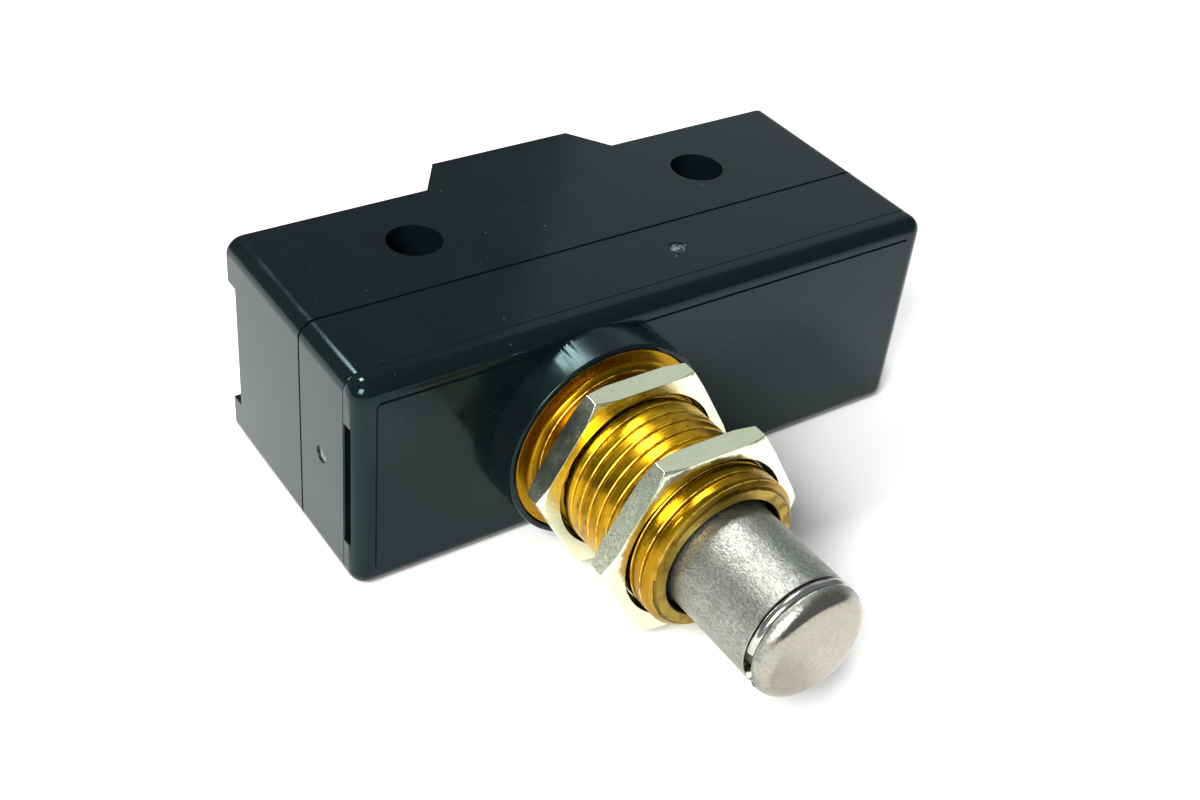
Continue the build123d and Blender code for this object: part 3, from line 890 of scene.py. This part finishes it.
plunger = {
    "radius": 4.25 * mm,
    "tipRound": 1.2 * mm,
    "dome": 0.10 * mm,
    "grooveFloor": 3.53 * mm,
    "grooveFront": 0.50 * mm,
    "grooveBack": 0.42 * mm,
    "grooveEdge": 0.05 * mm,
    "lipThickness": 1.0 * mm,
    "springBore": 2.6 * mm,
    "springFloor": -33.2 * mm,
    "ringAt": -38.4 * mm,
    "ringMean": 3.95 * mm,
    "ringWire": 0.4 * mm,
    "ringGap": 45.0,
    "ringGapAt": 197.0,
    "ringEdge": 0.06 * mm,
    "core": 0.02 * mm,  # the radius of the hole its outline is turned round, closed afterwards
    "smoothAngle": 30,
    "ringSmoothAngle": 40,
}


def makePlunger(settings):
    low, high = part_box("plunger")
    radius = settings["radius"]
    tip = low.y
    around = settings["tipRound"]
    shoulder = (radius - around, tip + settings["dome"] + around)
    core = settings["core"]
    dome = [(core, tip)]
    for share in (0.25, 0.5, 0.75):
        dome.append((shoulder[0] * share, tip + settings["dome"] * share ** 2))
    outline = dome + arcPoints(shoulder, around, -90, 0, 10)
    ringAt = settings["ringAt"]
    front, back = ringAt - settings["grooveFront"], ringAt + settings["grooveBack"]
    lip, lipFront = high.z - axisZ, high.y - settings["lipThickness"]
    edge, floor = settings["grooveEdge"], settings["grooveFloor"]
    outline += [
        (radius, front - edge),
        (radius - edge, front),
        (floor, front),
        (floor, back),
        (radius - edge, back),
        (radius, back + edge),
        (radius, lipFront),
        (lip, lipFront),
        (lip, high.y),
        (settings["springBore"], high.y),
        (settings["springBore"], settings["springFloor"]),
        (core, settings["springFloor"]),
    ]
    piece = turnPiece("plunger", outline, 128)
    closeCentre(piece)
    return piece


def makeSnapRing(settings):
    deselectAll()
    bpy.ops.mesh.primitive_torus_add(
        location=(axisX, settings["ringAt"], axisZ), rotation=(math.pi / 2, 0, 0),
        major_radius=settings["ringMean"], minor_radius=settings["ringWire"],
        major_segments=144, minor_segments=20,
    )
    piece = bpy.context.object
    applyPlace(piece)
    editAll(piece)
    bpy.ops.mesh.select_all(action="DESELECT")
    bpy.ops.object.mode_set(mode="OBJECT")
    halfGap = settings["ringGap"] / 2
    for point in piece.data.vertices:
        angle = math.degrees(math.atan2(point.co.z - axisZ, point.co.x - axisX)) % 360
        point.select = abs(angle - settings["ringGapAt"]) < halfGap
    bpy.ops.object.mode_set(mode="EDIT")
    bpy.ops.mesh.delete(type="VERT")
    bpy.ops.mesh.select_all(action="SELECT")
    bpy.ops.mesh.fill_holes(sides=0)
    bpy.ops.object.mode_set(mode="OBJECT")
    faceOut(piece)
    softenEdges(piece, settings["ringEdge"], 2, 50)
    return piece


rod, ring = makePlunger(plunger), makeSnapRing(plunger)
finishPiece(rod, "plunger", "plunger", tumbledSteel, plunger["smoothAngle"])
finishPiece(
    ring, "plunger", "plunger_snap_ring", metals["springSteel"], plunger["ringSmoothAngle"]
)
print("plunger ready")


spring = {
    "travel": 5.9 * mm,  # how far the plunger goes in
    "seatTravel": 0.53 * mm,  # how far its far end gives way as it does
    "edge": 0.01 * mm,
    "smoothAngle": 60,
}


# the coil, its edges softened, rides on the plunger's body with a mesh of its own
def fitSpring(settings):
    coil = softenedCopy("overtravel_spring", settings["edge"])
    angle = settings["smoothAngle"]
    finishPiece(coil, "plunger", "overtravel_spring", metals["springSteel"], angle)
    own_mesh(coil)


fitSpring(spring)


fittingEdges = {"screw": 0.10 * mm, "washer": 0.04 * mm, "terminal": 0.06 * mm}

for end in ("common", "no", "nc"):
    screw = softenedCopy(end + "_screw", fittingEdges["screw"])
    finishPiece(screw, end + "_screw", end + "_screw", nickelPlate)
    washer = softenedCopy(end + "_washer", fittingEdges["washer"])
    finishPiece(washer, end + "_screw", end + "_washer", nickelPlate)
    terminal = softenedCopy(end + "_terminal", fittingEdges["terminal"])
    finishPiece(terminal, "case", end + "_terminal", metals["terminalBrass"])
print("terminals ready")


# the pieces inside keep their shape and take their own finish
insideFinishes = {
    "spring_seat": metals["terminalBrass"],
    "pin_plunger": pinMoulded,
    "snap_blade": metals["bladeCopper"],
    "bow_spring": metals["bladeCopper"],
    "moving_contact": metals["contactSilver"],
    "anchor_rivet": metals["terminalBrass"],
    "nc_contact": metals["contactSilver"],
    "no_contact": metals["contactSilver"],
}
for node, material in insideFinishes.items():
    nodes[node].data.materials.clear()
    nodes[node].data.materials.append(material)


studio = {
    "floorColour": (0.90, 0.90, 0.88),
    "worldColour": (0.86, 0.93, 1.0),
    "worldStrength": 0.25,
    "centre": Vector((-0.005, -0.015, 0.008)),  # what the lights face
    "lightDistance": 0.6,
    "floorSize": 3.0,
    "floorRoughness": 0.85,
    "floorShine": 0.2,
}


lights = {  # elevation and azimuth in degrees, size, power and colour
    "keyLight": (52, 94, 0.15, 2.8, (1, 1, 1)),
    "rightLight": (30, 34, 0.40, 0.18, (0.95, 1.0, 0.98)),
    "frontLight": (40, -150, 0.25, 5.8, (1, 1, 1)),
}


def makeFloor(settings):
    deselectAll()
    bpy.ops.mesh.primitive_plane_add(size=settings["floorSize"], location=(0, 0, 0))
    floor = bpy.context.object
    floor.name = "floor"
    finish = newMaterial("paleFloor", settings["floorColour"], 0.0, settings["floorRoughness"])
    material, tree, shader, place = finish
    shader.inputs["Specular IOR Level"].default_value = settings["floorShine"]
    floor.data.materials.append(material)


# a square soft light that faces the switch from its direction
def addLight(name, elevation, azimuth, size, power, colour):
    data = bpy.data.lights.new(name, "AREA")
    data.shape = "RECTANGLE"
    data.size = data.size_y = size
    data.energy = power
    data.color = colour
    light = bpy.data.objects.new(name, data)
    bpy.context.scene.collection.objects.link(light)
    up, around = math.radians(elevation), math.radians(azimuth)
    way = Vector((math.cos(up) * math.cos(around), math.cos(up) * math.sin(around), math.sin(up)))
    light.location = studio["centre"] + way * studio["lightDistance"]
    light.rotation_euler = (-way).to_track_quat("-Z", "Y").to_euler()


makeFloor(studio)
world = bpy.data.worlds.new("studio")
bpy.context.scene.world = world
world.use_nodes = True
background = world.node_tree.nodes["Background"]
background.inputs["Color"].default_value = (*studio["worldColour"], 1)
background.inputs["Strength"].default_value = studio["worldStrength"]
bpy.context.scene.view_settings.view_transform = "Standard"

for name, values in lights.items():
    addLight(name, *values)
print("studio ready")


cameraPlace = {
    "place": (-60.95 * mm, -85.65 * mm, 78.73 * mm),
    "turn": (52.668, -5.273, -33.893),
    "lens": 47.86,
    "sensor": 36.0,
    "clipStart": 0.001,
}
cameraData = bpy.data.cameras.new("camera")
cameraData.lens = cameraPlace["lens"]
cameraData.sensor_width = cameraPlace["sensor"]
cameraData.clip_start = cameraPlace["clipStart"]
camera = bpy.data.objects.new("camera", cameraData)
bpy.context.scene.collection.objects.link(camera)
camera.location = cameraPlace["place"]
camera.rotation_euler = [math.radians(angle) for angle in cameraPlace["turn"]]
bpy.context.scene.camera = camera
